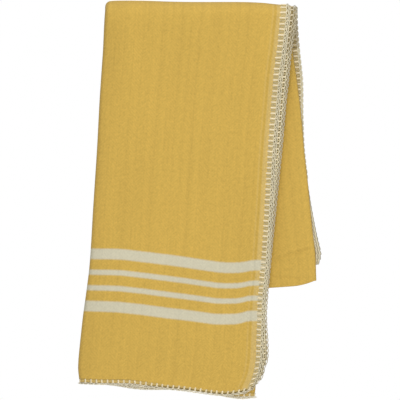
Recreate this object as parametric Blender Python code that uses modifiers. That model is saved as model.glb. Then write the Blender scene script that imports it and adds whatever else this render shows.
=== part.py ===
"""A flat-woven towel, folded once across and in quarters along, hung over a rail.

Run with: blender --background --python part.py

The frame's origin is under the top fold, at mid width, where a rail holds the towel.
+Z is up and the towel's front faces -Y. Every layer is the same sheet of cloth, so one
grid is shaped into all eight: across the towel it runs through three lengthwise folds,
and along the towel it runs from the front hem, over the rail, down the back, round the
crosswise fold and all the way back.
"""

import math

import bmesh
import bpy
from mathutils import Vector

MM = 0.001

# Driving sizes.
CLOTH_THICK = 1.0 * MM
LAYER_PITCH = 1.6 * MM
RAIL_RADIUS = 6.0 * MM
HALF_GAP = 2.0 * MM
YARN_RADIUS = 0.55 * MM
YARN_GAP = 0.35 * MM
CORNER_SHARE = 0.8

# Two layers, the halves of the towel, make a ply. Four plies are nested in the stack.
PLY_PITCH = 2 * LAYER_PITCH
OUTER_BEND = 1.5 * PLY_PITCH
INNER_BEND = 0.5 * PLY_PITCH
STACK_RADIUS = RAIL_RADIUS + CLOTH_THICK / 2 + 3.5 * LAYER_PITCH

# Where each fold and free edge lies across the towel, in mm from the middle, at each drop
# in mm below the rail's top. A drop on the back is negative. The four plies are the top,
# lining, inner and under one; the outer fold joins top to lining, the right fold lining to
# inner, and the inner fold inner to under.
COLUMNS = ("drop", "outer_fold", "inner_fold", "right_fold", "top_edge", "under_edge")
ROUTES = (
    (-358, -78.0, -74.0, 146.8, 145.0, 147.0),
    (-340, -80.0, -76.0, 145.6, 143.4, 147.2),
    (-317, -82.0, -77.0, 144.8, 141.8, 150.8),
    (-304, -83.0, -78.0, 144.2, 141.0, 151.2),
    (-280, -86.0, -80.0, 141.2, 138.0, 145.8),
    (-249, -89.0, -82.0, 138.0, 135.0, 140.2),
    (-217, -92.0, -85.0, 135.0, 132.0, 135.5),
    (-173, -97.0, -89.0, 130.0, 128.0, 130.4),
    (-130, -101.0, -92.0, 126.4, 123.5, 128.7),
    (-86, -106.0, -96.0, 121.0, 119.0, 128.2),
    (-50, -111.6, -101.0, 115.6, 115.0, 124.4),
    (-23, -116.2, -105.0, 112.5, 112.0, 122.0),
    (0, -118.2, -107.0, 110.0, 109.5, 120.8),
    (18, -119.4, -108.5, 108.6, 107.5, 118.8),
    (48, -120.8, -112.0, 106.0, 104.2, 113.8),
    (78, -122.9, -115.5, 103.5, 100.0, 111.0),
    (113, -125.2, -118.5, 101.0, 96.6, 107.2),
    (173, -128.4, -123.6, 96.5, 92.2, 101.9),
    (248, -133.3, -129.4, 90.0, 87.6, 94.4),
    (318, -137.7, -134.0, 83.0, 82.8, 87.6),
    (358, -142.6, -138.2, 79.0, 79.0, 84.2),
    (384, -146.2, -142.0, 76.8, 77.6, 82.6),
    (419, -150.0, -146.8, 73.2, 76.6, 84.6),
    (438, -151.8, -148.4, 71.4, 75.8, 84.2),
    (450, -152.2, -149.0, 70.4, 74.6, 80.2),
    (458, -151.4, -148.2, 69.8, 72.4, 78.8),
    (466, -150.4, -147.2, 69.2, 69.0, 73.2),
    (476, -149.2, -146.0, 68.4, 64.4, 68.6),
    (488, -148.0, -144.6, 66.4, 61.6, 66.0),
)

# The front hem and the crosswise fold under the back, as drops at the towel's left side,
# and how far each line falls or rises on its way to the right.
HEM_DROP = 467.5 * MM
BACK_DROP = 358.0 * MM
LINE_FALL = 14.9 * MM

# How far each ply's front hem lies below the hem's line, in mm, across the towel.
HEM_COLUMNS = ("across", "top", "lining", "inner", "under")
HEMS = (
    (0.00, 0.3, 0.3, 0.0, 0.0),
    (0.12, -0.7, -0.6, -0.8, -1.0),
    (0.20, -1.9, 0.4, -0.2, -1.2),
    (0.27, -2.6, 1.9, 1.2, -1.0),
    (0.36, -1.5, 2.3, 1.6, -0.8),
    (0.46, -0.5, 0.7, 0.2, -1.2),
    (0.58, 0.1, -0.6, -0.8, -2.0),
    (0.70, 1.6, 0.4, 0.0, -2.0),
    (0.78, 2.6, 1.9, 1.4, -2.0),
    (0.84, 2.4, 4.0, 3.6, -2.6),
    (0.90, 0.5, 5.0, 4.7, -5.0),
    (0.95, -2.2, 4.9, 4.7, -8.8),
    (1.00, -6.5, 3.0, 3.0, -14.0),
)

# How far the under ply is pulled up at its free edge, and how far the inner half's free
# edges lie outside the outer half's. At the crosswise fold only a share of that is left.
UNDER_PULLED_UP = 6 * MM
INNER_HALF_SLIP = {"top": 4.2 * MM, "under": -1.5 * MM}
SLIP_AT_FOLD = 0.2

# How far the front hem flares and over what height. Then the depth of the slow waves, the
# drop or width of one radian of each and where it starts, and the drops over which the
# waves and the layers' closing in come to their full size.
HEM_FLARE = 1.6 * MM
FLARE_REACH = 20 * MM
WAVE_DEPTH = 1.5 * MM
WAVE_DROP = 64 * MM
WAVE_START = 2.1
RIPPLE_DEPTH = 0.45 * MM
RIPPLE_WIDTH = 38 * MM
RIPPLE_START = 2.0
SWAY_REACH = 120 * MM
SETTLE_REACH = 140 * MM

# Mesh steps: drops above the hem, fractions of the back, and steps over the rail.
FRONT_STEPS = (0, 6, 12, 20, 30, 42, 70, 110, 150, 195, 240, 290, 340, 385, 420, 445)
BACK_STEPS = 8
RAIL_STEPS = 8
FREE_PLY_STEPS = (1.0, 0.95, 0.88, 0.77, 0.6, 0.4, 0.22, 0.0)
LINED_PLY_STEPS = (0.0, 0.22, 0.42, 0.6, 0.85, 1.0)
OUTER_BEND_STEPS = 6
INNER_BEND_STEPS = 6

CLOTH_COLOUR = (0.62, 0.40, 0.082, 1.0)
YARN_COLOUR = (0.80, 0.71, 0.52, 1.0)


def ease(t):
    """Rise smoothly from 0 to 1 as t does."""
    t = min(1.0, max(0.0, t))
    return t * t * (3 - 2 * t)


def mix(a, b, t):
    return a + (b - a) * t


def smooth_through(knots, at):
    """The value at a place, on a smooth curve through (place, value) knots."""
    at = min(knots[-1][0], max(knots[0][0], at))
    step = next(i for i in range(1, len(knots)) if at <= knots[i][0])

    def slope(i):
        low = max(0, i - 1)
        high = min(len(knots) - 1, i + 1)
        return (knots[high][1] - knots[low][1]) / (knots[high][0] - knots[low][0])

    (start, a), (end, b) = knots[step - 1], knots[step]
    span = end - start
    t = (at - start) / span
    from_a = a * (1 + 2 * t) * (1 - t) ** 2 + slope(step - 1) * span * t * (1 - t) ** 2
    from_b = b * t * t * (3 - 2 * t) - slope(step) * span * t * t * (1 - t)
    return from_a + from_b


def route(column, drop):
    """Where a fold or free edge lies at a drop."""
    index = COLUMNS.index(column)
    return smooth_through([(row[0] * MM, row[index] * MM) for row in ROUTES], drop)


def hem_drop(ply, across):
    """The drop of a ply's front hem, across the towel from 0 at left to 1 at right."""
    index = HEM_COLUMNS.index(ply)
    lower = smooth_through([(row[0], row[index] * MM) for row in HEMS], across)
    return HEM_DROP + LINE_FALL * across + lower


def back_drop(ply, across):
    """The drop of a ply's crosswise fold. A ply farther out on the rail ends higher."""
    detour = math.pi * PLY_PITCH * ("lining", "inner", "under", "top").index(ply)
    pulled_up = UNDER_PULLED_UP * across if ply == "under" else 0.0
    return BACK_DROP - LINE_FALL * across - detour - pulled_up


def columns_across():
    """The grid's columns: (ply, how far across, fold, angle round the fold)."""
    columns = [("top", across, None, 0.0) for across in FREE_PLY_STEPS]
    for step in range(1, OUTER_BEND_STEPS):
        columns.append(("top lining", 0.0, "outer_fold", math.pi * step / OUTER_BEND_STEPS))
    columns += [("lining", across, None, 0.0) for across in LINED_PLY_STEPS]
    for step in range(1, INNER_BEND_STEPS):
        columns.append(("lining inner", 1.0, "right_fold", math.pi * step / INNER_BEND_STEPS))
    columns += [("inner", across, None, 0.0) for across in reversed(LINED_PLY_STEPS)]
    for step in range(1, INNER_BEND_STEPS):
        columns.append(("inner under", 0.0, "inner_fold", math.pi * step / INNER_BEND_STEPS))
    columns += [("under", across, None, 0.0) for across in reversed(FREE_PLY_STEPS)]
    return columns


def line_drop(drop_of, ply, across):
    """A hem's or crosswise fold's drop. Two plies meet at their mean drop in a fold."""
    joined = {("top", 0): "lining", ("lining", 0): "top", ("lining", 1): "inner",
              ("inner", 1): "lining", ("inner", 0): "under", ("under", 0): "inner"}
    names = ply.split()
    if len(names) == 1 and (ply, across) in joined:
        names.append(joined[(ply, across)])
    return sum(drop_of(name, across) for name in names) / len(names)


def section(ply, across, fold, angle, drop):
    """A column's place x, its depth d outward in the stack, and the sheet's normal."""
    outer = route("outer_fold", drop) + OUTER_BEND
    inner = route("inner_fold", drop) + INNER_BEND
    right = route("right_fold", drop) - INNER_BEND
    sine = math.sin(angle)
    cosine = math.cos(angle)
    if fold == "outer_fold":
        return outer - OUTER_BEND * sine, OUTER_BEND * cosine, (-sine, cosine)
    if fold == "right_fold":
        return right + INNER_BEND * sine, -PLY_PITCH - INNER_BEND * cosine, (sine, -cosine)
    if fold == "inner_fold":
        return inner - INNER_BEND * sine, -INNER_BEND * cosine, (sine, cosine)
    if ply == "top":
        return mix(outer, route("top_edge", drop), across), OUTER_BEND, (0.0, 1.0)
    if ply == "lining":
        return mix(outer, right, across), -OUTER_BEND, (0.0, -1.0)
    if ply == "inner":
        return mix(inner, right, across), -INNER_BEND, (0.0, 1.0)
    return mix(inner, route("under_edge", drop), across), INNER_BEND, (0.0, -1.0)


def half_slip(ply, across, part, step):
    """How far the inner half's free edge lies outside the outer half's."""
    share = mix(1.0, SLIP_AT_FOLD, ease(step)) if part == "back" else 1.0
    return INNER_HALF_SLIP.get(ply, 0.0) * across * share


def settle(drop):
    """How far the front and the back have each come in from the rail towards the other."""
    return (RAIL_RADIUS - HALF_GAP) * ease(drop / SETTLE_REACH)


def sway(x, drop):
    """The slow waves that all the hanging layers share."""
    wave = WAVE_DEPTH * math.sin(drop / WAVE_DROP + WAVE_START)
    ripple = RIPPLE_DEPTH * math.sin(x / RIPPLE_WIDTH + RIPPLE_START)
    return (wave + ripple) * ease(drop / SWAY_REACH)


def flare(z, across):
    """How far the front hem stands forward at a height."""
    above_hem = z + HEM_DROP + LINE_FALL * across
    return HEM_FLARE * (1 - ease(above_hem / FLARE_REACH))


def rows_along():
    """The grid's rows down one half: (part of the path, distance, fraction or angle)."""
    rows = [("front", height * MM) for height in FRONT_STEPS]
    rows += [("rail", math.pi * step / RAIL_STEPS) for step in range(RAIL_STEPS + 1)]
    rows += [("back", step / BACK_STEPS) for step in range(1, BACK_STEPS + 1)]
    return rows


def place(column, row, turn):
    """A point of the sheet.

    turn is the angle round the crosswise fold: 0 on the outer half of the towel, pi on the
    inner half, and between them in the fold.
    """
    ply, across, fold, angle = column
    part, step = row
    centre = -RAIL_RADIUS
    if part == "front":
        z = min(-line_drop(hem_drop, ply, across) + step, centre)
    elif part == "back":
        z = mix(centre, -line_drop(back_drop, ply, across), step)
    else:
        depth = section(ply, across, fold, angle, 0.0)[1]
        z = centre + (STACK_RADIUS + depth) * math.sin(step)
    side = 1 if part == "front" or (part == "rail" and step < math.pi / 2) else -1
    drop = max(0.0, -z)
    x, depth, normal = section(ply, across, fold, angle, side * drop)
    bend = step if part == "rail" else (0.0 if side > 0 else math.pi)
    outward = Vector((0.0, -math.cos(bend), math.sin(bend)))
    if part != "rail":
        outward.z = 0.0
    halves_apart = math.cos(turn) * LAYER_PITCH / 2
    x += half_slip(ply, across, part, step) * (1 - math.cos(turn)) / 2
    reach = STACK_RADIUS + depth + halves_apart * normal[1]
    point = Vector((x + halves_apart * normal[0], 0.0, centre))
    point += outward * reach
    if part != "rail":
        point.z = z
    hanging = max(0.0, centre - point.z)
    point.y += side * settle(hanging) + sway(x, hanging)
    if part == "front":
        point.y -= flare(z, across)
    point.z -= math.sin(turn) * LAYER_PITCH / 2
    return point


def path_along():
    """All rows of the sheet in order: down one half, round the fold and back."""
    half = [(row, 0.0) for row in rows_along()]
    last = half[-1][0]
    bend = [(last, math.pi * step / INNER_BEND_STEPS) for step in range(1, INNER_BEND_STEPS)]
    return half + bend + [(row, math.pi) for row, _ in reversed(half)]


def material(name, colour, roughness):
    made = bpy.data.materials.new(name)
    made.use_nodes = True
    shader = made.node_tree.nodes["Principled BSDF"]
    shader.inputs["Base Color"].default_value = colour
    shader.inputs["Roughness"].default_value = roughness
    shader.inputs["Metallic"].default_value = 0.0
    made.diffuse_color = colour
    return made


def make_cloth(collection):
    """The towel: one open grid shaped into all its layers, then given its thickness."""
    columns = columns_across()
    rows = path_along()
    mesh = bpy.data.meshes.new("cloth")
    shape = bmesh.new()
    bmesh.ops.create_grid(shape, x_segments=len(columns) - 1, y_segments=len(rows) - 1, size=1)
    for vertex in shape.verts:
        across = round((vertex.co.x + 1) / 2 * (len(columns) - 1))
        along = round((vertex.co.y + 1) / 2 * (len(rows) - 1))
        vertex.co = place(columns[across], *rows[along])
    for face in shape.faces:
        face.smooth = True
    shape.to_mesh(mesh)
    shape.free()
    cloth = bpy.data.objects.new("cloth", mesh)
    cloth.data.materials.append(material("towel_cotton", CLOTH_COLOUR, 0.9))
    collection.objects.link(cloth)
    solid = cloth.modifiers.new("thickness", "SOLIDIFY")
    solid.thickness = CLOTH_THICK
    solid.offset = 0.0
    solid.use_even_offset = True
    return cloth


def make_edging_yarn(collection):
    """The yarn that the stitches loop over, a ring just outside the cloth's four sides."""
    columns = columns_across()
    rows = path_along()
    reach = YARN_GAP + YARN_RADIUS
    aside = Vector((reach, 0.0, 0.0))
    below = Vector((0.0, 0.0, -reach))
    corner = (aside + below) * CORNER_SHARE
    outer_hem = [place(column, *rows[0]) + below for column in columns[1:-1]]
    under_side = [place(columns[-1], *row) + aside for row in rows[1:-1]]
    inner_hem = [place(column, *rows[-1]) + below for column in reversed(columns[1:-1])]
    top_side = [place(columns[0], *row) + aside for row in reversed(rows[1:-1])]
    ring = [place(columns[0], *rows[0]) + corner]
    ring += outer_hem + [place(columns[-1], *rows[0]) + corner]
    ring += under_side + [place(columns[-1], *rows[-1]) + corner]
    ring += inner_hem + [place(columns[0], *rows[-1]) + corner]
    ring += top_side
    curve = bpy.data.curves.new("edging_yarn", "CURVE")
    curve.dimensions = "3D"
    curve.bevel_depth = YARN_RADIUS
    curve.bevel_resolution = 1
    spline = curve.splines.new("POLY")
    spline.points.add(len(ring) - 1)
    for knot, point in zip(spline.points, ring):
        knot.co = (*point, 1.0)
    spline.use_cyclic_u = True
    spline.use_smooth = True
    yarn = bpy.data.objects.new("edging_yarn", curve)
    yarn.data.materials.append(material("cotton_yarn", YARN_COLOUR, 0.85))
    collection.objects.link(yarn)
    return yarn


for old in list(bpy.data.objects):
    bpy.data.objects.remove(old, do_unlink=True)

towel = bpy.data.collections.new("turkish_towel")
bpy.context.scene.collection.children.link(towel)
make_cloth(towel)
make_edging_yarn(towel)
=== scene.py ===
"""The looks of a flat-woven towel, folded in quarters and hung over a rail."""

import math
import random

import bmesh
import bpy
from mathutils import Matrix, Vector


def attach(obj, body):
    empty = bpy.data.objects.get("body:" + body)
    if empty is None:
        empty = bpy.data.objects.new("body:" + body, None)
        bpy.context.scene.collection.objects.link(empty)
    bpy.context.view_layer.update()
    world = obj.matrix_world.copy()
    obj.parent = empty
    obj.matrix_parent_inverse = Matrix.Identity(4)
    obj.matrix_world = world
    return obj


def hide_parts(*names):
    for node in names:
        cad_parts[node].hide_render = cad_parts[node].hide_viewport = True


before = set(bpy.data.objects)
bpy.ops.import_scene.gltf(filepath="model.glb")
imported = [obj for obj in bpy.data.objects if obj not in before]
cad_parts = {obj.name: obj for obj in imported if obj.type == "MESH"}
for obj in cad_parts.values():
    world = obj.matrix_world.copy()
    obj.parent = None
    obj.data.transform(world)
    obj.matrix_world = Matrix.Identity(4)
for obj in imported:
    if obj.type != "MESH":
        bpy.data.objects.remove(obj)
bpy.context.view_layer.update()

# ---------------------------------------------------------------------------------------
# The cloth: one rectangle of mustard cotton, woven in herringbone, 90 by 170 cm. It is
# folded once across and twice along, then hung over a rail, so it lies in four plies of
# two layers. It is made as one flat grid whose every point is led to its place.
# ---------------------------------------------------------------------------------------
MM = 0.001
TOWEL_WIDTH = 900 * MM
TOWEL_LENGTH = 1700 * MM
CLOTH_THICK = 1.0 * MM
SHEET_THICK = 0.9 * MM
LAYER_PITCH = 1.6 * MM
RAIL_RADIUS = 6.0 * MM
HALF_GAP = 2.0 * MM

HALF_LENGTH = TOWEL_LENGTH / 2
PANEL = TOWEL_WIDTH / 4
PLY_PITCH = 2 * LAYER_PITCH
OUTER_BEND = 1.5 * PLY_PITCH
INNER_BEND = 0.5 * PLY_PITCH
STACK_RADIUS = RAIL_RADIUS + CLOTH_THICK / 2 + 3.5 * LAYER_PITCH

# Where each fold and free edge lies across the towel, in mm from the middle, at each drop
# in mm below the rail's top. A drop on the back is negative. The four plies are the top,
# lining, inner and under one; the outer fold joins top to lining, the right fold lining to
# inner, and the inner fold inner to under.
COLUMNS = ("drop", "outer_fold", "inner_fold", "right_fold", "top_edge", "under_edge")
ROUTES = (
    (-358, -78.0, -74.0, 146.8, 145.0, 147.0),
    (-340, -80.0, -76.0, 145.6, 143.4, 147.2),
    (-317, -82.0, -77.0, 144.8, 141.8, 148.9),
    (-311, -82.4, -77.5, 144.6, 141.4, 150.7),
    (-304, -83.0, -78.0, 144.2, 141.0, 151.2),
    (-280, -86.0, -80.0, 141.2, 138.0, 145.8),
    (-249, -89.0, -82.0, 138.0, 135.0, 140.2),
    (-217, -92.0, -85.0, 135.0, 132.0, 135.5),
    (-173, -97.0, -89.0, 130.0, 128.0, 130.4),
    (-130, -101.0, -92.0, 126.4, 123.5, 128.7),
    (-86, -106.0, -96.0, 121.0, 119.0, 128.2),
    (-50, -111.6, -101.0, 115.6, 115.0, 124.4),
    (-23, -116.2, -105.0, 112.5, 112.0, 122.0),
    (0, -118.2, -107.0, 110.0, 110.2, 120.8),
    (18, -119.4, -108.5, 108.6, 108.3, 118.8),
    (48, -120.8, -112.0, 106.0, 105.1, 113.8),
    (78, -122.9, -115.5, 103.5, 101.0, 111.0),
    (113, -125.2, -118.5, 101.0, 97.8, 107.2),
    (173, -128.4, -123.6, 96.5, 92.8, 101.9),
    (248, -133.3, -129.4, 90.0, 88.5, 94.4),
    (318, -137.7, -134.0, 83.0, 83.8, 87.6),
    (358, -142.6, -138.2, 79.0, 80.0, 84.2),
    (384, -146.2, -142.0, 76.8, 78.6, 82.6),
    (419, -150.0, -146.8, 73.2, 77.4, 84.6),
    (438, -151.8, -148.4, 71.4, 76.4, 84.2),
    (450, -152.2, -149.0, 70.4, 74.6, 80.2),
    (458, -151.4, -148.2, 69.8, 72.4, 78.8),
    (466, -150.4, -147.2, 69.2, 69.0, 73.2),
    (476, -149.2, -146.0, 68.4, 64.4, 68.6),
    (488, -148.0, -144.6, 66.4, 61.6, 66.0),
)
KNOTS = {
    name: [(row[0] * MM, row[index] * MM) for row in ROUTES]
    for index, name in enumerate(COLUMNS)
}

# The front hem and the crosswise fold under the back, as drops at the towel's left side,
# and how far each line falls or rises on its way to the right. The hem's own curve dies out
# within the corner's reach above it. Two plies end at one drop at the fold that joins them,
# and ease to it within a share of a ply's width.
HEM_DROP = 467.5 * MM
BACK_DROP = 358.0 * MM
LINE_FALL = 14.9 * MM
CORNER_REACH = 70 * MM
JOINED_REACH = 0.13

# How far each ply's front hem lies below the hem's line, in mm, across the towel.
HEM_COLUMNS = ("across", "top", "lining", "inner", "under")
HEMS = (
    (0.00, 0.3, 0.3, 0.0, 0.0),
    (0.12, -0.7, -0.6, -0.8, -1.0),
    (0.20, -1.9, 0.4, -0.2, -1.2),
    (0.27, -2.6, 1.9, 1.2, -1.0),
    (0.36, -1.5, 2.3, 1.6, -0.8),
    (0.46, -0.5, 0.7, 0.2, -1.2),
    (0.58, 0.1, -0.6, -0.8, -2.0),
    (0.70, 1.6, 0.4, 0.0, -2.0),
    (0.78, 2.6, 1.9, 1.4, -2.0),
    (0.84, 2.4, 4.0, 3.6, -2.6),
    (0.90, 0.5, 5.0, 4.7, -5.0),
    (0.95, -2.2, 4.9, 4.7, -8.8),
    (1.00, -6.5, 3.0, 3.0, -14.0),
)

# How far the under ply is pulled up at its free edge, and how far the inner half's free
# edges lie outside the outer half's. At the crosswise fold only a share of that is left.
UNDER_PULLED_UP = 6 * MM
INNER_HALF_SLIP = {"top": 2.0 * MM, "under": -1.5 * MM}
SLIP_AT_FOLD = 0.2

# How far the weft sags, in mm, across the towel, at the lowest and the highest stripe.
WEFT_SAG = (
    ("across", "low", "high"),
    (0.00, 0.2, 0.8),
    (0.15, -0.8, -0.8),
    (0.30, 0.2, 0.6),
    (0.45, 2.3, 2.3),
    (0.60, 3.8, 4.7),
    (0.72, 5.7, 6.7),
    (0.80, 4.8, 6.4),
    (0.86, 3.3, 4.8),
    (0.92, -1.0, 1.6),
    (1.00, -2.2, 0.3),
)
LOW_STRIPE = 88 * MM
HIGH_STRIPE = 165 * MM

# How much of the cloth's edge the stitches draw in, and how far the front hem flares.
SIDE_TRIM = 1.0 * MM
HEM_TRIM = 1.4 * MM
HEM_FLARE = 1.6 * MM
FLARE_REACH = 20 * MM

# How thick the layers lie over the rail, as a share of their free thickness, across x in
# mm. The stitched side is pressed flat. Below the rail they come back to it.
OVER_RAIL = (
    (-120, 1.04),
    (-106, 1.15),
    (-70, 1.14),
    (-38, 1.05),
    (-10, 1.01),
    (55, 1.00),
    (78, 0.92),
    (92, 0.80),
    (102, 0.72),
    (124, 0.66),
)
OVER_RAIL_REACH = 55 * MM

# Creases in the layer of the back part that shows from the front, as (x, z) ends, height,
# and width above and below, in mm.
CREASES = (
    ((86, -311.0), (142, -294.4), 1.50, 2.2, 1.5),
    ((80, -333.6), (134, -337.6), -0.90, 1.6, 2.8),
    ((100, -120.0), (112, -205.0), 0.25, 6.0, 6.0),
)

# Below the rail the front and the back come in towards each other, and slow waves begin,
# down the drop and across x, as height, length over two pi, and phase.
SETTLE_REACH = 140 * MM
DOWN_WAVE = (1.5 * MM, 64 * MM, 2.1)
ACROSS_WAVE = (0.45 * MM, 38 * MM, 2.0)
WAVE_REACH = 120 * MM

# The stack's left fold is pressed thinner, and both its parts turn outwards there. A soft
# trough runs down the front beside it, across the given places at its top and its foot.
LEFT_PRESS = 0.22
LEFT_REACH = 17 * MM
LEFT_TURN = 1.2 * MM
LEFT_TURN_REACH = 22 * MM
LEFT_TURN_START = 30 * MM
TROUGH_ACROSS = (-108 * MM, -98 * MM)
TROUGH_TOP = -60 * MM
TROUGH_FOOT = -330 * MM
TROUGH_FADE = 90 * MM
TROUGH_HALF_WIDTH = 11 * MM
TROUGH_DEPTH = 1.1 * MM


def ease(t):
    """Rise smoothly from 0 to 1 as t does."""
    t = min(1.0, max(0.0, t))
    return t * t * (3 - 2 * t)


def mix(a, b, t):
    return a + (b - a) * t


def smooth_through(knots, at):
    """The value at a place, on a smooth curve through (place, value) knots."""
    at = min(knots[-1][0], max(knots[0][0], at))
    step = next(i for i in range(1, len(knots)) if at <= knots[i][0])

    def slope(i):
        low = max(0, i - 1)
        high = min(len(knots) - 1, i + 1)
        return (knots[high][1] - knots[low][1]) / (knots[high][0] - knots[low][0])

    (start, a), (end, b) = knots[step - 1], knots[step]
    span = end - start
    t = (at - start) / span
    from_a = a * (1 + 2 * t) * (1 - t) ** 2 + slope(step - 1) * span * t * (1 - t) ** 2
    from_b = b * t * t * (3 - 2 * t) - slope(step) * span * t * t * (1 - t)
    return from_a + from_b


def route(column, drop):
    """Where a fold or free edge lies at a drop."""
    return smooth_through(KNOTS[column], drop)


def hem_drop(ply, across):
    """The drop of a ply's front hem, across the towel from 0 at left to 1 at right."""
    index = HEM_COLUMNS.index(ply)
    lower = smooth_through([(row[0], row[index] * MM) for row in HEMS], across)
    return HEM_DROP + LINE_FALL * across + lower


def back_drop(ply, across):
    """The drop of a ply's crosswise fold. A ply farther out on the rail ends higher."""
    detour = math.pi * PLY_PITCH * ("lining", "inner", "under", "top").index(ply)
    pulled_up = UNDER_PULLED_UP * across if ply == "under" else 0.0
    return BACK_DROP - LINE_FALL * across - detour - pulled_up


def line_drop(drop_of, ply, across):
    """A hem's or crosswise fold's drop. Two joined plies ease to their mean drop."""
    if " " in ply:
        return sum(drop_of(name, across) for name in ply.split()) / 2
    neighbour, at = {
        "top": ("lining", 0.0),
        "lining": ("top", 0.0) if across < 0.5 else ("inner", 1.0),
        "inner": ("under", 0.0) if across < 0.5 else ("lining", 1.0),
        "under": ("inner", 0.0),
    }[ply]
    to_mean = (drop_of(neighbour, at) - drop_of(ply, at)) / 2
    return drop_of(ply, across) + to_mean * max(0.0, 1 - abs(across - at) / JOINED_REACH) ** 2


def section(ply, across, fold, angle, drop):
    """A column's place x, its depth d outward in the stack, and the sheet's normal."""
    outer = route("outer_fold", drop) + OUTER_BEND
    inner = route("inner_fold", drop) + INNER_BEND
    right = route("right_fold", drop) - INNER_BEND
    sine = math.sin(angle)
    cosine = math.cos(angle)
    if fold == "outer_fold":
        return outer - OUTER_BEND * sine, OUTER_BEND * cosine, (-sine, cosine)
    if fold == "right_fold":
        return right + INNER_BEND * sine, -PLY_PITCH - INNER_BEND * cosine, (sine, -cosine)
    if fold == "inner_fold":
        return inner - INNER_BEND * sine, -INNER_BEND * cosine, (sine, cosine)
    if ply == "top":
        return mix(outer, route("top_edge", drop), across), OUTER_BEND, (0.0, 1.0)
    if ply == "lining":
        return mix(outer, right, across), -OUTER_BEND, (0.0, -1.0)
    if ply == "inner":
        return mix(inner, right, across), -INNER_BEND, (0.0, 1.0)
    return mix(inner, route("under_edge", drop), across), INNER_BEND, (0.0, -1.0)


def half_slip(ply, across, part, step):
    """How far the inner half's free edge lies outside the outer half's."""
    share = mix(1.0, SLIP_AT_FOLD, ease(step)) if part == "back" else 1.0
    return INNER_HALF_SLIP.get(ply, 0.0) * across * share


def settle(drop):
    """How far the front and the back have each come in from the rail towards the other."""
    return (RAIL_RADIUS - HALF_GAP) * ease(drop / SETTLE_REACH)


def sway(x, drop):
    """The slow waves that all the hanging layers share."""
    swing = 0.0
    for at, (height, length, phase) in ((drop, DOWN_WAVE), (x, ACROSS_WAVE)):
        swing += height * math.sin(at / length + phase)
    return swing * ease(drop / WAVE_REACH)


def weft_sag(across, height):
    """How far the weft lies below the hem's line, at a height over the hem."""
    low, high = (
        smooth_through([(row[0], row[index] * MM) for row in WEFT_SAG[1:]], across)
        for index in (1, 2)
    )
    return mix(low, high, ease((height - LOW_STRIPE) / (HIGH_STRIPE - LOW_STRIPE)))


def crease(x, z):
    """The height of the soft creases at a place on the back part."""
    height = 0.0
    for start, end, rise, above, below in CREASES:
        along = Vector(end) - Vector(start)
        reach = Vector((x / MM, z / MM)) - Vector(start)
        t = reach.dot(along) / along.length_squared
        if 0 < t < 1:
            off = reach - along * t
            aside = off.length / (above if off.y > 0 else below)
            height += rise * MM * math.exp(-aside * aside) * math.sin(math.pi * t) ** 0.6
    return height


def trough(x, z):
    """How deep the soft trough beside the left fold is, at a place on the front."""
    centre = mix(*TROUGH_ACROSS, (TROUGH_TOP - z) / (TROUGH_TOP - TROUGH_FOOT))
    aside = (x - centre) / TROUGH_HALF_WIDTH
    ends = ease((TROUGH_TOP - z) / TROUGH_FADE) * ease((z - TROUGH_FOOT) / TROUGH_FADE)
    return TROUGH_DEPTH * math.exp(-aside * aside) * ends


def place(column, part, step, turn):
    """A point of the sheet, and how far along the cloth it lies from its hem.

    step runs from 0 to 1 up the front, over the rail or down the back. turn is 0 on the
    outer half of the towel, pi on the inner one, and between them round the crosswise fold.
    """
    ply, across, fold, angle = column
    centre = -RAIL_RADIUS
    line = HEM_DROP + LINE_FALL * across
    lifted = line - line_drop(hem_drop, ply, across)
    radius = STACK_RADIUS + section(ply, across, fold, angle, 0.0)[1]
    to_rail = line - RAIL_RADIUS
    rail_start = to_rail + weft_sag(across, to_rail)
    bend = 0.0
    if part == "front":
        height = to_rail * step
        height += lifted * (1 - ease(height / CORNER_REACH))
        z = height - line
        along = height + mix(-lifted, weft_sag(across, height), ease(height / LOW_STRIPE))
    elif part == "rail":
        bend = math.pi * step
        z = centre + radius * math.sin(bend)
        along = rail_start + radius * bend
    else:
        bend = math.pi
        z = mix(centre, -line_drop(back_drop, ply, across), step)
        along = mix(rail_start + radius * bend, HALF_LENGTH, step)
    side = 1 if bend < math.pi / 2 else -1
    drop = max(0.0, -z)
    x, depth, normal = section(ply, across, fold, angle, side * drop)
    x += half_slip(ply, across, part, step) * (1 - math.cos(turn)) / 2
    lift = math.cos(turn) * LAYER_PITCH / 2
    hanging = max(0.0, centre - z)
    pressed = smooth_through(OVER_RAIL, x / MM)
    pressed = mix(pressed, 1.0, ease(hanging / OVER_RAIL_REACH))
    from_left = x - route("outer_fold", side * drop)
    pressed -= LEFT_PRESS * (1 - ease(from_left / LEFT_REACH)) * ease(hanging / OVER_RAIL_REACH)
    reach = mix(RAIL_RADIUS, STACK_RADIUS + depth + lift * normal[1], pressed)
    y = -reach * side
    if part == "rail":
        y = -reach * math.cos(bend)
        z = centre + reach * math.sin(bend)
    x += lift * normal[0]
    y += side * settle(hanging) + sway(x, hanging)
    turned = (1 - ease(from_left / LEFT_TURN_REACH)) * ease(hanging / LEFT_TURN_START)
    y += side * LEFT_TURN * turned
    if part == "front":
        y -= HEM_FLARE * (1 - ease((z + HEM_DROP + LINE_FALL * across) / FLARE_REACH))
        y += trough(x, z)
    if side < 0 and ply == "lining" and turn < 1.0:
        y -= crease(x, z)
    z -= math.sin(turn) * LAYER_PITCH / 2
    return Vector((x, y, z)), along


def steps_to(count, start=0.0, end=1.0, crowd=1.0):
    """Even steps from start to end, or crowded near the start when crowd is over 1."""
    return [mix(start, end, (i / count) ** crowd) for i in range(count + 1)]


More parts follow.
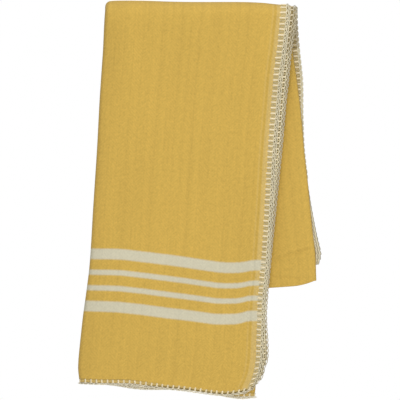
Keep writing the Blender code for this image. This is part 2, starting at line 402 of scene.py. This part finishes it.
# The grid's columns, as (ply, how far across, fold, angle round it) and the place across
# the open cloth. A ply that hardly shows gets fewer of them.
outer_half = math.pi * OUTER_BEND / 2
inner_half = math.pi * INNER_BEND / 2
free_end = 1 - SIDE_TRIM / PANEL
columns = [
    (("top", 1 - t, None, 0.0), mix(0, PANEL - outer_half, t))
    for t in steps_to(54, 1 - free_end, 1.0, 1.3)
]
columns += [
    (("top lining", 0.0, "outer_fold", math.pi * t), PANEL + outer_half * (2 * t - 1))
    for t in steps_to(8)[1:-1]
]
columns += [
    (("lining", t, None, 0.0), mix(PANEL + outer_half, 2 * PANEL - inner_half, t))
    for t in steps_to(22, 0.0, 0.73) + steps_to(28, 0.73)[1:]
]
columns += [
    (("lining inner", 1.0, "right_fold", math.pi * t), 2 * PANEL + inner_half * (2 * t - 1))
    for t in steps_to(8)[1:-1]
]
columns += [
    (("inner", 1 - t, None, 0.0), mix(2 * PANEL + inner_half, 3 * PANEL - inner_half, t))
    for t in steps_to(10)
]
columns += [
    (("inner under", 0.0, "inner_fold", math.pi * t), 3 * PANEL + inner_half * (2 * t - 1))
    for t in steps_to(6)[1:-1]
]
columns += [
    (("under", t, None, 0.0), mix(3 * PANEL + inner_half, 4 * PANEL, t))
    for t in steps_to(14, 0.0, free_end)
]

# The grid's rows, as (part, step, turn), close together on the outer half.
first_row = HEM_TRIM / HEM_DROP
half_rows = {
    0.0: [("front", t) for t in steps_to(104, first_row, 1.0, 1.25)]
    + [("rail", t) for t in steps_to(18)[1:]]
    + [("back", t) for t in steps_to(28, 0.0, 0.8)[1:]]
    + [("back", t) for t in steps_to(62, 0.8)[1:]],
    math.pi: [("front", t) for t in steps_to(30, first_row, 1.0, 1.6)]
    + [("rail", t) for t in steps_to(14)[1:]]
    + [("back", t) for t in steps_to(18)[1:]],
}
rows = [(part, step, 0.0) for part, step in half_rows[0.0]]
rows += [("back", 1.0, math.pi * t) for t in steps_to(6)[1:-1]]
rows += [(part, step, math.pi) for part, step in reversed(half_rows[math.pi])]

shape = bmesh.new()
bmesh.ops.create_grid(shape, x_segments=len(columns) - 1, y_segments=len(rows) - 1, size=1)
open_cloth = {}
for vertex in shape.verts:
    column, u = columns[round((vertex.co.x + 1) / 2 * (len(columns) - 1))]
    row = rows[round((vertex.co.y + 1) / 2 * (len(rows) - 1))]
    vertex.co, along = place(column, *row)
    open_cloth[vertex] = (u, along if row[2] < math.pi / 2 else TOWEL_LENGTH - along)
cloth_map = shape.loops.layers.uv.new("open_cloth")
for face in shape.faces:
    face.smooth = True
    for loop in face.loops:
        loop[cloth_map].uv = open_cloth[loop.vert]
cloth_mesh = bpy.data.meshes.new("towel_cloth")
shape.to_mesh(cloth_mesh)
shape.free()
cloth = bpy.data.objects.new("towel_cloth", cloth_mesh)
bpy.context.scene.collection.objects.link(cloth)
thickness = cloth.modifiers.new("thickness", "SOLIDIFY")
thickness.thickness = SHEET_THICK
thickness.offset = 0.0
thickness.use_even_offset = True


class Wire:
    """A shader value. Arithmetic on it adds Math nodes to its material's tree."""

    def __init__(self, tree, socket=None):
        self.tree = tree
        self.socket = socket

    def node(self, kind, settings=None, inputs=None, outlet=0):
        """Add a node: its settings first, then the values or wires of its sockets."""
        made = self.tree.nodes.new(kind)
        for name, value in (settings or {}).items():
            setattr(made, name, value)
        for name, value in (inputs or {}).items():
            if isinstance(value, Wire):
                self.tree.links.new(value.socket, made.inputs[name])
            else:
                made.inputs[name].default_value = value
        return Wire(self.tree, made.outputs[outlet])

    def math(self, operation, *values):
        return self.node("ShaderNodeMath", {"operation": operation}, dict(enumerate(values)))

    def rise(self, start, end):
        """0 below start and 1 above end, with a smooth step between them."""
        settings = {"interpolation_type": "SMOOTHSTEP"}
        inputs = {"Value": self, "From Min": start, "From Max": end}
        return self.node("ShaderNodeMapRange", settings, inputs)

    def band(self, low, high, soft):
        """1 between two values and 0 outside them, with soft edges."""
        rising = self.rise(low - soft / 2, low + soft / 2)
        return rising * (1 - self.rise(high - soft / 2, high + soft / 2))

    def dyed(self, colour, other, amount):
        """A colour that turns into another one as amount goes from 0 to 1.

        A Mix node takes its two colours at sockets 6 and 7, and gives theirs at outlet 2.
        """
        inputs = {0: amount, 6: colour, 7: other}
        return self.node("ShaderNodeMix", {"data_type": "RGBA"}, inputs, outlet=2)

    def __add__(self, other):
        return self.math("ADD", self, other)

    def __sub__(self, other):
        return self.math("SUBTRACT", self, other)

    def __rsub__(self, other):
        return self.math("SUBTRACT", other, self)

    def __mul__(self, other):
        return self.math("MULTIPLY", self, other)

    __radd__ = __add__
    __rmul__ = __mul__


MUSTARD = (0.598, 0.388, 0.078, 1.0)
STRIPE_CREAM = (0.602, 0.566, 0.424, 1.0)
SELVEDGE_STRAW = (0.620, 0.450, 0.165, 1.0)
OVERCAST_KHAKI = (0.54, 0.43, 0.200, 1.0)
# The next colour is painted shade, for the dark in the cut edge's holes and under the bites.
PAINTED_HOLE_SHADE = (0.23, 0.170, 0.060, 1.0)

# The stripes woven near each hem, as distances from it: wide, narrow, narrow, wide. Their
# weft is beaten up a little unevenly.
STRIPES_FROM = 90.5 * MM
STRIPE_GAP = 13.2 * MM
STRIPE_WIDTHS = (13.3 * MM, 6.6 * MM, 6.6 * MM, 13.3 * MM)
STRIPE_SOFT = 3.0 * MM
BEAT_UNEVEN = 0.8 * MM
HERRINGBONE_COLUMN = 11.6 * MM
TWILL_PITCH = 4.2 * MM

# Along both sides, as from and to the edge, and how soft: a pale band beside the stitches,
# then a dark warp and a pale one.
PALE_SIDE = (6.5 * MM, 13.0 * MM, 2.5 * MM)
DARK_WARP = (13.4 * MM, 16.0 * MM, 1.6 * MM)
PALE_WARP = (16.6 * MM, 18.6 * MM, 1.8 * MM)

# The overcast band reaches in to the stitches' bites. At the sides it grows deeper on the
# way up to the rail, between two distances from the outer half's hem.
SIDE_BITE = 6.6 * MM
HEM_BITE = 4.8 * MM
BITE_SOFT = 0.5 * MM
DEEPER_BITE = 1.6 * MM
DEEPER_FROM = (250 * MM, 440 * MM)

# The cut edge's holes carry painted shade, the dark between its threads, from and to the edge,
# along the hems' right half, and along the inner half's sides, in the shadow of the outer one.
# The hems' left half has only a painted shadow line at the bites.
RIGHT_HALF = (105 * MM, 160 * MM)
HEM_HOLE_SHADE = (2.6 * MM, 3.8 * MM)
SIDE_HOLE_SHADE = (3.8 * MM, 5.0 * MM)
BITE_SHADE = (4.6 * MM, 6.0 * MM, 1.2 * MM)

cotton = bpy.data.materials.new("herringbone_cotton")
cotton.use_nodes = True
weave = cotton.node_tree.nodes["Principled BSDF"]
loom = Wire(cotton.node_tree)
spot = loom.node("ShaderNodeUVMap", {"uv_map": "open_cloth"})
u = loom.node("ShaderNodeSeparateXYZ", None, {0: spot}, outlet="X")
v = loom.node("ShaderNodeSeparateXYZ", None, {0: spot}, outlet="Y")
from_side = u.math("MINIMUM", u, TOWEL_WIDTH - u)
from_hem = v.math("MINIMUM", v, TOWEL_LENGTH - v)


def cloth_noise(across, along, detail=2.0):
    """Noise over the open cloth, as patches per metre across and along it, about 0."""
    spread = loom.node("ShaderNodeCombineXYZ", None, {"X": u * across, "Y": v * along})
    inputs = {"Vector": spread, "Scale": 1.0, "Detail": detail, "Roughness": 0.6}
    noise = loom.node("ShaderNodeTexNoise", {"noise_dimensions": "2D"}, inputs)
    return noise - 0.5


slant = u.math("PINGPONG", u, HERRINGBONE_COLUMN)
twill = u.math("SINE", (v + slant) * (2 * math.pi / TWILL_PITCH))
reversal = 1 - u.math("PINGPONG", u, HERRINGBONE_COLUMN / 2).rise(0.2 * MM, 1.6 * MM)
threads = cloth_noise(400, 260) + 0.6 * cloth_noise(190, 480)
slubs = cloth_noise(170, 90, 3.0)
streaks = cloth_noise(110, 3)
clouds = cloth_noise(14, 9, 3.0)

beaten = from_hem + BEAT_UNEVEN * cloth_noise(300, 4)
stripes = 0.0
stripe_start = STRIPES_FROM
for width in STRIPE_WIDTHS:
    stripes = beaten.band(stripe_start, stripe_start + width, STRIPE_SOFT) + stripes
    stripe_start += width + STRIPE_GAP
pale_side = from_side.band(*PALE_SIDE)
dark_warp = from_side.band(*DARK_WARP)
pale_warp = from_side.band(*PALE_WARP)

side_bite = SIDE_BITE + DEEPER_BITE * v.rise(*DEEPER_FROM)
side_band = 1 - (from_side - side_bite).rise(-BITE_SOFT, BITE_SOFT)
hem_band = 1 - from_hem.rise(HEM_BITE - BITE_SOFT, HEM_BITE + BITE_SOFT)
overcast = side_band.math("MAXIMUM", side_band, 0.5 * hem_band)
on_inner_half = v.rise(HALF_LENGTH - 1 * MM, HALF_LENGTH + 1 * MM)
on_right_half = 1 - u.rise(*RIGHT_HALF)
# Painted shade: the cut edge's holes are painted dark, and a shadow line is painted under the
# bites.
hem_hole_shade = (1 - from_hem.rise(*HEM_HOLE_SHADE)) * on_right_half
side_hole_shade = on_inner_half * (1 - from_side.rise(*SIDE_HOLE_SHADE))
bite_shade = from_hem.band(*BITE_SHADE) * (1 - on_right_half)
hole_shade = side_band.math("MAXIMUM", hem_hole_shade, 0.85 * side_hole_shade)

colour = loom.dyed(MUSTARD, SELVEDGE_STRAW, 0.7 * pale_side + 0.3 * pale_warp)
colour = loom.dyed(colour, STRIPE_CREAM, 0.97 * stripes)
colour = loom.dyed(colour, OVERCAST_KHAKI, 0.85 * overcast * (1 - 0.75 * stripes))
# The painted shade of the holes and bites darkens the cloth here.
colour = loom.dyed(colour, PAINTED_HOLE_SHADE, 0.9 * hole_shade + 0.5 * bite_shade)

# How much each part of the weave lightens or darkens the cloth, as a share of its colour.
uneven = 0.022 * twill - 0.034 * reversal + 0.26 * threads + 0.09 * slubs + 0.12 * streaks
tone = 1 + uneven * (1 - 0.45 * stripes) + 0.08 * clouds - 0.07 * dark_warp
scale = {0: colour, "Scale": tone}
colour = loom.node("ShaderNodeVectorMath", {"operation": "SCALE"}, scale)
height = 0.6 * twill - 0.6 * reversal + 1.6 * threads
relief = {"Strength": 0.4, "Distance": 0.15 * MM, "Height": height}
bump = loom.node("ShaderNodeBump", None, relief)
cotton.node_tree.links.new(colour.socket, weave.inputs["Base Color"])
cotton.node_tree.links.new(bump.socket, weave.inputs["Normal"])
weave.inputs["Roughness"].default_value = 0.92
weave.inputs["Specular IOR Level"].default_value = 0.15
weave.inputs["Sheen Weight"].default_value = 0.10
weave.inputs["Sheen Roughness"].default_value = 0.6
cloth.data.materials.append(cotton)
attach(cloth, "root")
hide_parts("cloth")

# ---------------------------------------------------------------------------------------
# The edging: a thick cream cotton yarn in blanket stitch, right round the towel. Each
# stitch bites through the cloth, lies flat over both its faces, and is caught by the next
# one in a chain along the edge. A thin overcast thread binds the cut edge between them.
# ---------------------------------------------------------------------------------------

# The pitch that the stitches' tables are drawn for, how far in from the edge a stitch's
# direction is taken, and how far outside the cut edge its chain is laid.
STITCH_PITCH = 6.9 * MM
BITE_DEPTH = 8.3 * MM
CHAIN_OUTSIDE = 0.05 * MM

# The sides of a yarn's and of a thread's section, how far they wander from their tables'
# points, how many sorts of each stitch there are, and how unevenly they are sewn.
YARN_SIDES = 5
THREAD_SIDES = 4
YARN_WANDER = 0.07 * MM
STITCH_SORTS = 3
UNEVEN = 0.05

# The pitch of the stitches in mm, and how deep they bite as a share of their tables' depth,
# at each z in mm. The hems have a share of their own.
STITCH_SPACING = (
    ("z", "pitch", "depth"),
    (-500, 6.9, 0.82),
    (-420, 6.8, 0.88),
    (-350, 6.5, 0.98),
    (-250, 6.6, 0.99),
    (-120, 7.0, 1.06),
    (10, 7.2, 1.22),
)
HEM_DEPTH = 0.70

# Above this z in mm, the under ply's stitches have painted shade, with yarns painted darker for
# the shade between the plies. Below it on the front, only the outer yarn of their chain has it.
PAINTED_SHADE_ABOVE = -48

# The strands of one stitch, as (along, inward, off the cloth's middle, width, thickness) in
# mm. The leg goes through the cloth at its bite and lies on both faces. The two strands of
# the chain part at the leg's end, round a small hole, and meet again between the stitches,
# where the overcast thread goes round the cut edge.
STITCH_LEG = (
    (0.0, 1.0, 0.80, 1.5, 0.9),
    (0.0, 2.2, 1.05, 2.3, 1.3),
    (0.0, 7.1, 0.95, 2.4, 1.2),
    (0.1, 7.9, 0.00, 1.3, 0.9),
    (0.0, 7.1, -0.95, 2.4, 1.2),
    (0.0, 2.2, -1.05, 2.3, 1.3),
    (0.0, 1.0, -0.80, 1.5, 0.9),
)
INNER_CHAIN = (
    (-4.4, -0.5, 0.35, 1.0, 0.8),
    (-1.7, 1.3, 0.75, 1.2, 1.0),
    (1.7, 1.3, 0.75, 1.2, 1.0),
    (4.4, -0.5, 0.30, 1.0, 0.8),
)
OUTER_CHAIN = (
    (-4.4, 0.3, -0.10, 1.0, 0.8),
    (-1.7, -1.2, 0.00, 1.4, 1.3),
    (1.7, -1.2, 0.00, 1.4, 1.3),
    (4.4, 0.3, 0.05, 1.0, 0.8),
)
OVERCAST_THREAD = (
    (3.3, 7.2, 0.45, 1.5, 0.5),
    (3.5, 0.8, 0.75, 1.9, 0.6),
    (3.5, -0.3, 0.00, 1.4, 0.6),
    (3.5, 0.8, -0.75, 1.9, 0.6),
    (3.3, 7.2, -0.45, 1.5, 0.5),
)

# How far a stitch leans ahead on its way in, as a share of that way.
STITCH_LEAN = {"outer_hem": 0.0, "under_side": 0.0, "inner_hem": 0.0, "top_side": -0.03}

# Where the under ply's edge has rolled on the back, from and to z in mm, its chain lies on
# the face, as a bundle of yarns along the edge: (inward, off the middle, thickness) in mm
# and the yarn. Its spread inward is a share of that, at each z in mm.
ROLLED = (-345, -212)
ROLLED_YARNS = (
    (-0.7, 0.1, 1.4, "shaded_grey_chain"),
    (0.7, 0.9, 2.0, "grey_cream_chain"),
    (2.3, 1.1, 1.5, "shaded_grey_chain"),
    (3.7, 1.0, 2.0, "grey_cream_chain"),
    (5.2, 0.8, 1.3, "shaded_grey_chain"),
)
ROLLED_SPREAD = (
    (-330, 0.30),
    (-319, 0.40),
    (-314, 0.75),
    (-306, 1.00),
    (-285, 0.95),
    (-212, 0.45),
)

# The hem's chain is the palest. The yarns between the rolled edge's ridges have painted shade,
# and the under ply has the painted shade yarns, darker for the shade between the plies.
YARN_COLOURS = {
    "cream_leg": (0.840, 0.720, 0.480),
    "pale_chain": (0.880, 0.810, 0.620),
    "grey_cream_chain": (0.760, 0.690, 0.490),
    "overcast_straw": (0.600, 0.500, 0.270),
    "shaded_grey_chain": (0.420, 0.370, 0.260),
    "painted_shade_leg": (0.680, 0.580, 0.390),
    "painted_shade_chain": (0.580, 0.510, 0.350),
    "painted_shade_straw": (0.370, 0.290, 0.140),
}

# How far apart the ridges of a yarn's twist lie, in mm.
PLY_TWIST = 1.6


def lay_strand(shape, strand, sides, colour, chance):
    """Draw one closed strand of yarn through its table's points, oval in section."""
    points = [
        Vector((s, w, n)) * MM + Vector([chance.uniform(-1, 1) * YARN_WANDER for _ in range(3)])
        for s, w, n, _, _ in strand
    ]
    frames = []
    aside = Vector((0.0, 0.0, 1.0)).cross(points[1] - points[0])
    for index, point in enumerate(points):
        ahead = points[min(index + 1, len(points) - 1)] - points[max(index - 1, 0)]
        ahead.normalize()
        aside = (aside - ahead * aside.dot(ahead)).normalized()
        up = ahead.cross(aside)
        width, thick = strand[index][3:]
        turned = Matrix((aside * width * MM / 2, up * thick * MM / 2, ahead * MM)).transposed()
        frames.append(Matrix.Translation(point) @ turned.to_4x4())
    start = bmesh.ops.create_circle(
        shape, cap_ends=True, segments=sides, radius=1.0, matrix=frames[0]
    )
    tip = start["verts"][0].link_faces[0]
    skin = {tip}

    # How far along the strand each vertex lies, in mm, and how far round it.
    turns = {vertex: (0.0, index / sides) for index, vertex in enumerate(start["verts"])}
    reach = 0.0
    for index in range(1, len(frames)):
        left_inside = tip
        grown = bmesh.ops.extrude_face_region(shape, geom=[tip])["geom"]
        tip = next(item for item in grown if isinstance(item, bmesh.types.BMFace))

        # The face that grew is left inside the strand, unless it closes the strand's start.
        if index > 1:
            skin.discard(left_inside)
            bmesh.ops.delete(shape, geom=[left_inside], context="FACES_ONLY")
        reach += (points[index] - points[index - 1]).length / MM
        for vertex in tip.verts:
            rung = next(e for e in vertex.link_edges if e.other_vert(vertex) in turns
                        and e.other_vert(vertex) not in tip.verts)
            turns[vertex] = (reach, turns[rung.other_vert(vertex)][1])
        skin.update(face for vertex in tip.verts for face in vertex.link_faces)
        move = frames[index] @ frames[index - 1].inverted()
        bmesh.ops.transform(shape, matrix=move, verts=tip.verts[:])
    twist = shape.loops.layers.uv["yarn"]
    for face in skin:
        face.material_index = list(YARN_COLOURS).index(colour)
        face.smooth = True

        # Where the way round closes, its start counts as one whole turn.
        wraps = any(turns[vertex][1] > 0.6 for vertex in face.verts)
        for loop in face.loops:
            along, around = turns[loop.vert]
            loop[twist].uv = (along, around + 1 if wraps and around < 0.4 else around)


def stitch_template(seed, strands):
    """A mesh of one stitch's strands, with its place on the edge at the origin."""
    chance = random.Random(seed)
    shape = bmesh.new()
    shape.loops.layers.uv.new("yarn")
    for strand, sides, colour in strands:
        lay_strand(shape, strand, sides, colour, chance)
    mesh = bpy.data.meshes.new("stitch")
    shape.to_mesh(mesh)
    shape.free()
    return mesh


def rolled_yarn(inward, off_middle, thick, face):
    """One yarn of the rolled edge's bundle, slanting a little and thinner at both ends."""
    n = off_middle * face
    return (
        (-1.2, inward + 0.6, 0.6 * n, 0.6 * thick, 0.6 * thick),
        (0.6, inward + 0.5, n, thick, thick),
        (6.2, inward - 0.5, n, thick, thick),
        (8.0, inward - 0.6, 0.6 * n, 0.6 * thick, 0.6 * thick),
    )


def spacing_at(edge, column):
    """The stitches' pitch or depth at a place, from the spacing's table."""
    index = STITCH_SPACING[0].index(column)
    knots = [(row[0], row[index]) for row in STITCH_SPACING[1:]]
    return smooth_through(knots, edge.z / MM)


def along_edge(line):
    """Places a stitch apart along a line of (edge point, point farther in)."""
    places = []
    to_next = STITCH_PITCH / 2
    for (start, start_in), (end, end_in) in zip(line, line[1:]):
        length = (end - start).length
        reach = to_next
        while reach < length:
            edge = start.lerp(end, reach / length)
            inside = start_in.lerp(end_in, reach / length)
            places.append((edge, (inside - edge).normalized()))
            reach += spacing_at(edge, "pitch") * MM
        to_next = reach - length
    return places


def hem_line(turn):
    """The edge along one hem, from the top ply's free side to the under ply's."""
    across = [("top", 1.0, None, 0.0)] + [column for column, _ in columns[1:-1]]
    across += [("under", 1.0, None, 0.0)]
    higher = BITE_DEPTH / HEM_DROP
    return [
        (place(column, "front", 0.0, turn)[0], place(column, "front", higher, turn)[0])
        for column in across
    ]


def side_line(ply):
    """The edge down one side, from the outer half's hem round to the inner half's."""
    edge = (ply, 1.0, None, 0.0)
    inside = (ply, 1 - BITE_DEPTH / PANEL, None, 0.0)
    along = [("front", 0.0, 0.0)] + rows[1:-1] + [("front", 0.0, math.pi)]
    return [(place(edge, *row)[0], place(inside, *row)[0]) for row in along]


# The towel's four edges, in order right round it.
edge_lines = {
    "outer_hem": hem_line(0.0),
    "under_side": side_line("under"),
    "inner_hem": list(reversed(hem_line(math.pi))),
    "top_side": list(reversed(side_line("top"))),
}
ring = [
    (name, edge, inward)
    for name, line in edge_lines.items()
    for edge, inward in along_edge(line)
]


def sewn(leg, inner, outer, thread=None):
    """One stitch's strands in the given yarns: its leg, its chain and the overcast thread."""
    strands = [
        (STITCH_LEG, YARN_SIDES, leg),
        (INNER_CHAIN, YARN_SIDES, inner),
        (OUTER_CHAIN, YARN_SIDES, outer),
    ]
    if thread:
        strands.append((OVERCAST_THREAD, THREAD_SIDES, thread))
    return strands


stitches = {
    "hem": sewn("cream_leg", "pale_chain", "pale_chain"),
    "side": sewn("cream_leg", "grey_cream_chain", "grey_cream_chain", "overcast_straw"),
    # The under ply's outer chain, and all its stitches near the rail, use yarns with painted
    # shade.
    "under": sewn("cream_leg", "grey_cream_chain", "painted_shade_chain", "overcast_straw"),
    "painted_shade": sewn("painted_shade_leg", "painted_shade_chain", "painted_shade_chain", "painted_shade_straw"),
    "rolled": [
        (rolled_yarn(*yarn, face), YARN_SIDES, colour)
        for *yarn, colour in ROLLED_YARNS
        for face in (1, -1)
    ],
}
templates = {
    stitch: [stitch_template(seed, strands) for seed in range(STITCH_SORTS)]
    for stitch, strands in stitches.items()
}

# Each stitch is stretched to reach the next one in the ring.
yarn_chance = random.Random(11)
edging_parts = {"hem_edging": bmesh.new(), "side_edging": bmesh.new()}
for index, (name, edge, inward) in enumerate(ring):
    ahead = ring[(index + 1) % len(ring)][1] - edge
    outward = inward.cross(ahead).normalized()
    start = edge - inward * CHAIN_OUTSIDE
    on_hem = "hem" in name
    on_back = edge.y > STACK_RADIUS / 2
    stitch = "hem" if on_hem else "side"
    lean = STITCH_LEAN[name] + yarn_chance.uniform(-UNEVEN, UNEVEN)
    depth = HEM_DEPTH if on_hem else spacing_at(edge, "depth")
    depth *= yarn_chance.uniform(1 - UNEVEN, 1 + UNEVEN)
    # Near the rail the under ply's stitches take the yarns with painted shade, and on the front
    # only their outer chain does.
    if name == "under_side" and on_back and ROLLED[0] < edge.z / MM < ROLLED[1]:
        stitch = "rolled"
        lean = 0.0
        depth = smooth_through(ROLLED_SPREAD, edge.z / MM)
    elif name == "under_side" and edge.z / MM > PAINTED_SHADE_ABOVE:
        stitch = "painted_shade"
    elif name == "under_side" and not on_back:
        stitch = "under"
    template = yarn_chance.choice(templates[stitch])
    matrix = Matrix((ahead / STITCH_PITCH, inward * depth + ahead.normalized() * lean, outward))
    matrix = Matrix.Translation(start) @ matrix.transposed().to_4x4()
    laid = template.copy()
    laid.transform(matrix)
    edging_parts["hem_edging" if on_hem else "side_edging"].from_mesh(laid)
    bpy.data.meshes.remove(laid)


def spin_yarn(name, colour):
    """A cotton yarn of that colour, with its twist, its fibres and slight soiling."""
    yarn = bpy.data.materials.new(name)
    yarn.use_nodes = True
    shader = yarn.node_tree.nodes["Principled BSDF"]
    spun = Wire(yarn.node_tree)
    where = spun.node("ShaderNodeTexCoord", outlet="Object")
    spot = spun.node("ShaderNodeUVMap", {"uv_map": "yarn"})
    along = spun.node("ShaderNodeSeparateXYZ", None, {0: spot}, outlet="X")
    around = spun.node("ShaderNodeSeparateXYZ", None, {0: spot}, outlet="Y")
    twist = spun.math("SINE", (along * (1 / PLY_TWIST) + around * 2) * (2 * math.pi))

    def noise(per_metre, detail):
        inputs = {"Vector": where, "Scale": per_metre, "Detail": detail}
        return spun.node("ShaderNodeTexNoise", None, inputs) - 0.5

    fibres = noise(1500, 3.0)
    patches = noise(80, 2.0)
    tone = 1 + 0.07 * twist + 0.20 * fibres + 0.30 * patches
    scale = {0: colour, "Scale": tone}
    shaded = spun.node("ShaderNodeVectorMath", {"operation": "SCALE"}, scale)
    height = 0.7 * twist + fibres
    relief = {"Strength": 0.6, "Distance": 0.15 * MM, "Height": height}
    bump = spun.node("ShaderNodeBump", None, relief)
    yarn.node_tree.links.new(shaded.socket, shader.inputs["Base Color"])
    yarn.node_tree.links.new(bump.socket, shader.inputs["Normal"])
    shader.inputs["Roughness"].default_value = 0.85
    shader.inputs["Specular IOR Level"].default_value = 0.2
    shader.inputs["Sheen Weight"].default_value = 0.15
    return yarn


yarns = [spin_yarn(name, colour) for name, colour in YARN_COLOURS.items()]

for name, shape in edging_parts.items():
    bmesh.ops.recalc_face_normals(shape, faces=shape.faces[:])
    mesh = bpy.data.meshes.new(name)
    shape.to_mesh(mesh)
    shape.free()
    for yarn in yarns:
        mesh.materials.append(yarn)
    piece = bpy.data.objects.new(name, mesh)
    bpy.context.scene.collection.objects.link(piece)
    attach(piece, "root")
    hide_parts("edging_yarn")
for template in sum(templates.values(), []):
    bpy.data.meshes.remove(template)

# ---------------------------------------------------------------------------------------
# The studio: a pale floor well below the towel, a white surround, and a long lens that
# looks at the towel straight on. A broad soft light stands before the towel, two smaller
# ones hang over it, and the broadest fills in from behind.
# ---------------------------------------------------------------------------------------
FLOOR_DROP = 0.62
FLOOR_SIZE = 2.2

shape = bmesh.new()
bmesh.ops.create_grid(shape, x_segments=1, y_segments=1, size=FLOOR_SIZE / 2)
bmesh.ops.translate(shape, vec=(0.0, 0.0, -FLOOR_DROP), verts=shape.verts[:])
floor_mesh = bpy.data.meshes.new("floor")
shape.to_mesh(floor_mesh)
shape.free()
floor = bpy.data.objects.new("floor", floor_mesh)
bpy.context.scene.collection.objects.link(floor)
pale = bpy.data.materials.new("pale_floor")
pale.use_nodes = True
pale.node_tree.nodes["Principled BSDF"].inputs["Base Color"].default_value = (0.8, 0.8, 0.79, 1)
pale.node_tree.nodes["Principled BSDF"].inputs["Roughness"].default_value = 0.9
floor.data.materials.append(pale)

# The surround is white to the camera, and lights the towel by less than that.
SURROUND_LIGHT = 0.32

surround = bpy.data.worlds.new("white_surround")
surround.use_nodes = True
bpy.context.scene.world = surround
air = Wire(surround.node_tree)
to_camera = air.node("ShaderNodeLightPath", outlet="Is Camera Ray")
strength = SURROUND_LIGHT + (1 - SURROUND_LIGHT) * to_camera
background = surround.node_tree.nodes["Background"]
surround.node_tree.links.new(strength.socket, background.inputs["Strength"])
background.inputs["Color"].default_value = (1.0, 1.0, 1.0, 1.0)


def soft_light(name, place, aim, size, power):
    """Hang a broad square lamp at a place, turned to face its aim."""
    lamp = bpy.data.lights.new(name, "AREA")
    lamp.shape = "SQUARE"
    lamp.size = size
    lamp.energy = power
    hung = bpy.data.objects.new(name, lamp)
    hung.location = place
    hung.rotation_euler = (Vector(aim) - Vector(place)).to_track_quat("-Z", "Y").to_euler()
    hung.visible_camera = False
    bpy.context.scene.collection.objects.link(hung)


soft_light("key", (0.12, -1.25, -0.18), (0.0, 0.0, -0.22), size=0.7, power=8.7)
soft_light("overhead", (0.05, -0.42, 1.10), (0.0, 0.0, -0.15), size=0.4, power=5.6)
soft_light("top_light", (0.0, -0.07, 0.62), (0.0, 0.0, 0.0), size=0.4, power=0.6)
soft_light("back_fill", (-0.6, 2.0, 0.1), (0.0, 0.0, -0.22), size=1.2, power=30.0)

VIEW_WIDTH = 0.504
VIEW_HEIGHT = -0.2373
CAMERA_REACH = 6.0
SENSOR_WIDTH = 36.0

lens = bpy.data.cameras.new("camera")
lens.sensor_width = SENSOR_WIDTH
lens.lens = SENSOR_WIDTH * CAMERA_REACH / VIEW_WIDTH
lens.clip_end = 50.0
camera = bpy.data.objects.new("camera", lens)
camera.location = (0.0, -CAMERA_REACH, VIEW_HEIGHT)
camera.rotation_euler = (math.pi / 2, 0.0, 0.0)
bpy.context.scene.collection.objects.link(camera)
bpy.context.scene.camera = camera
bpy.context.scene.view_settings.view_transform = "Standard"
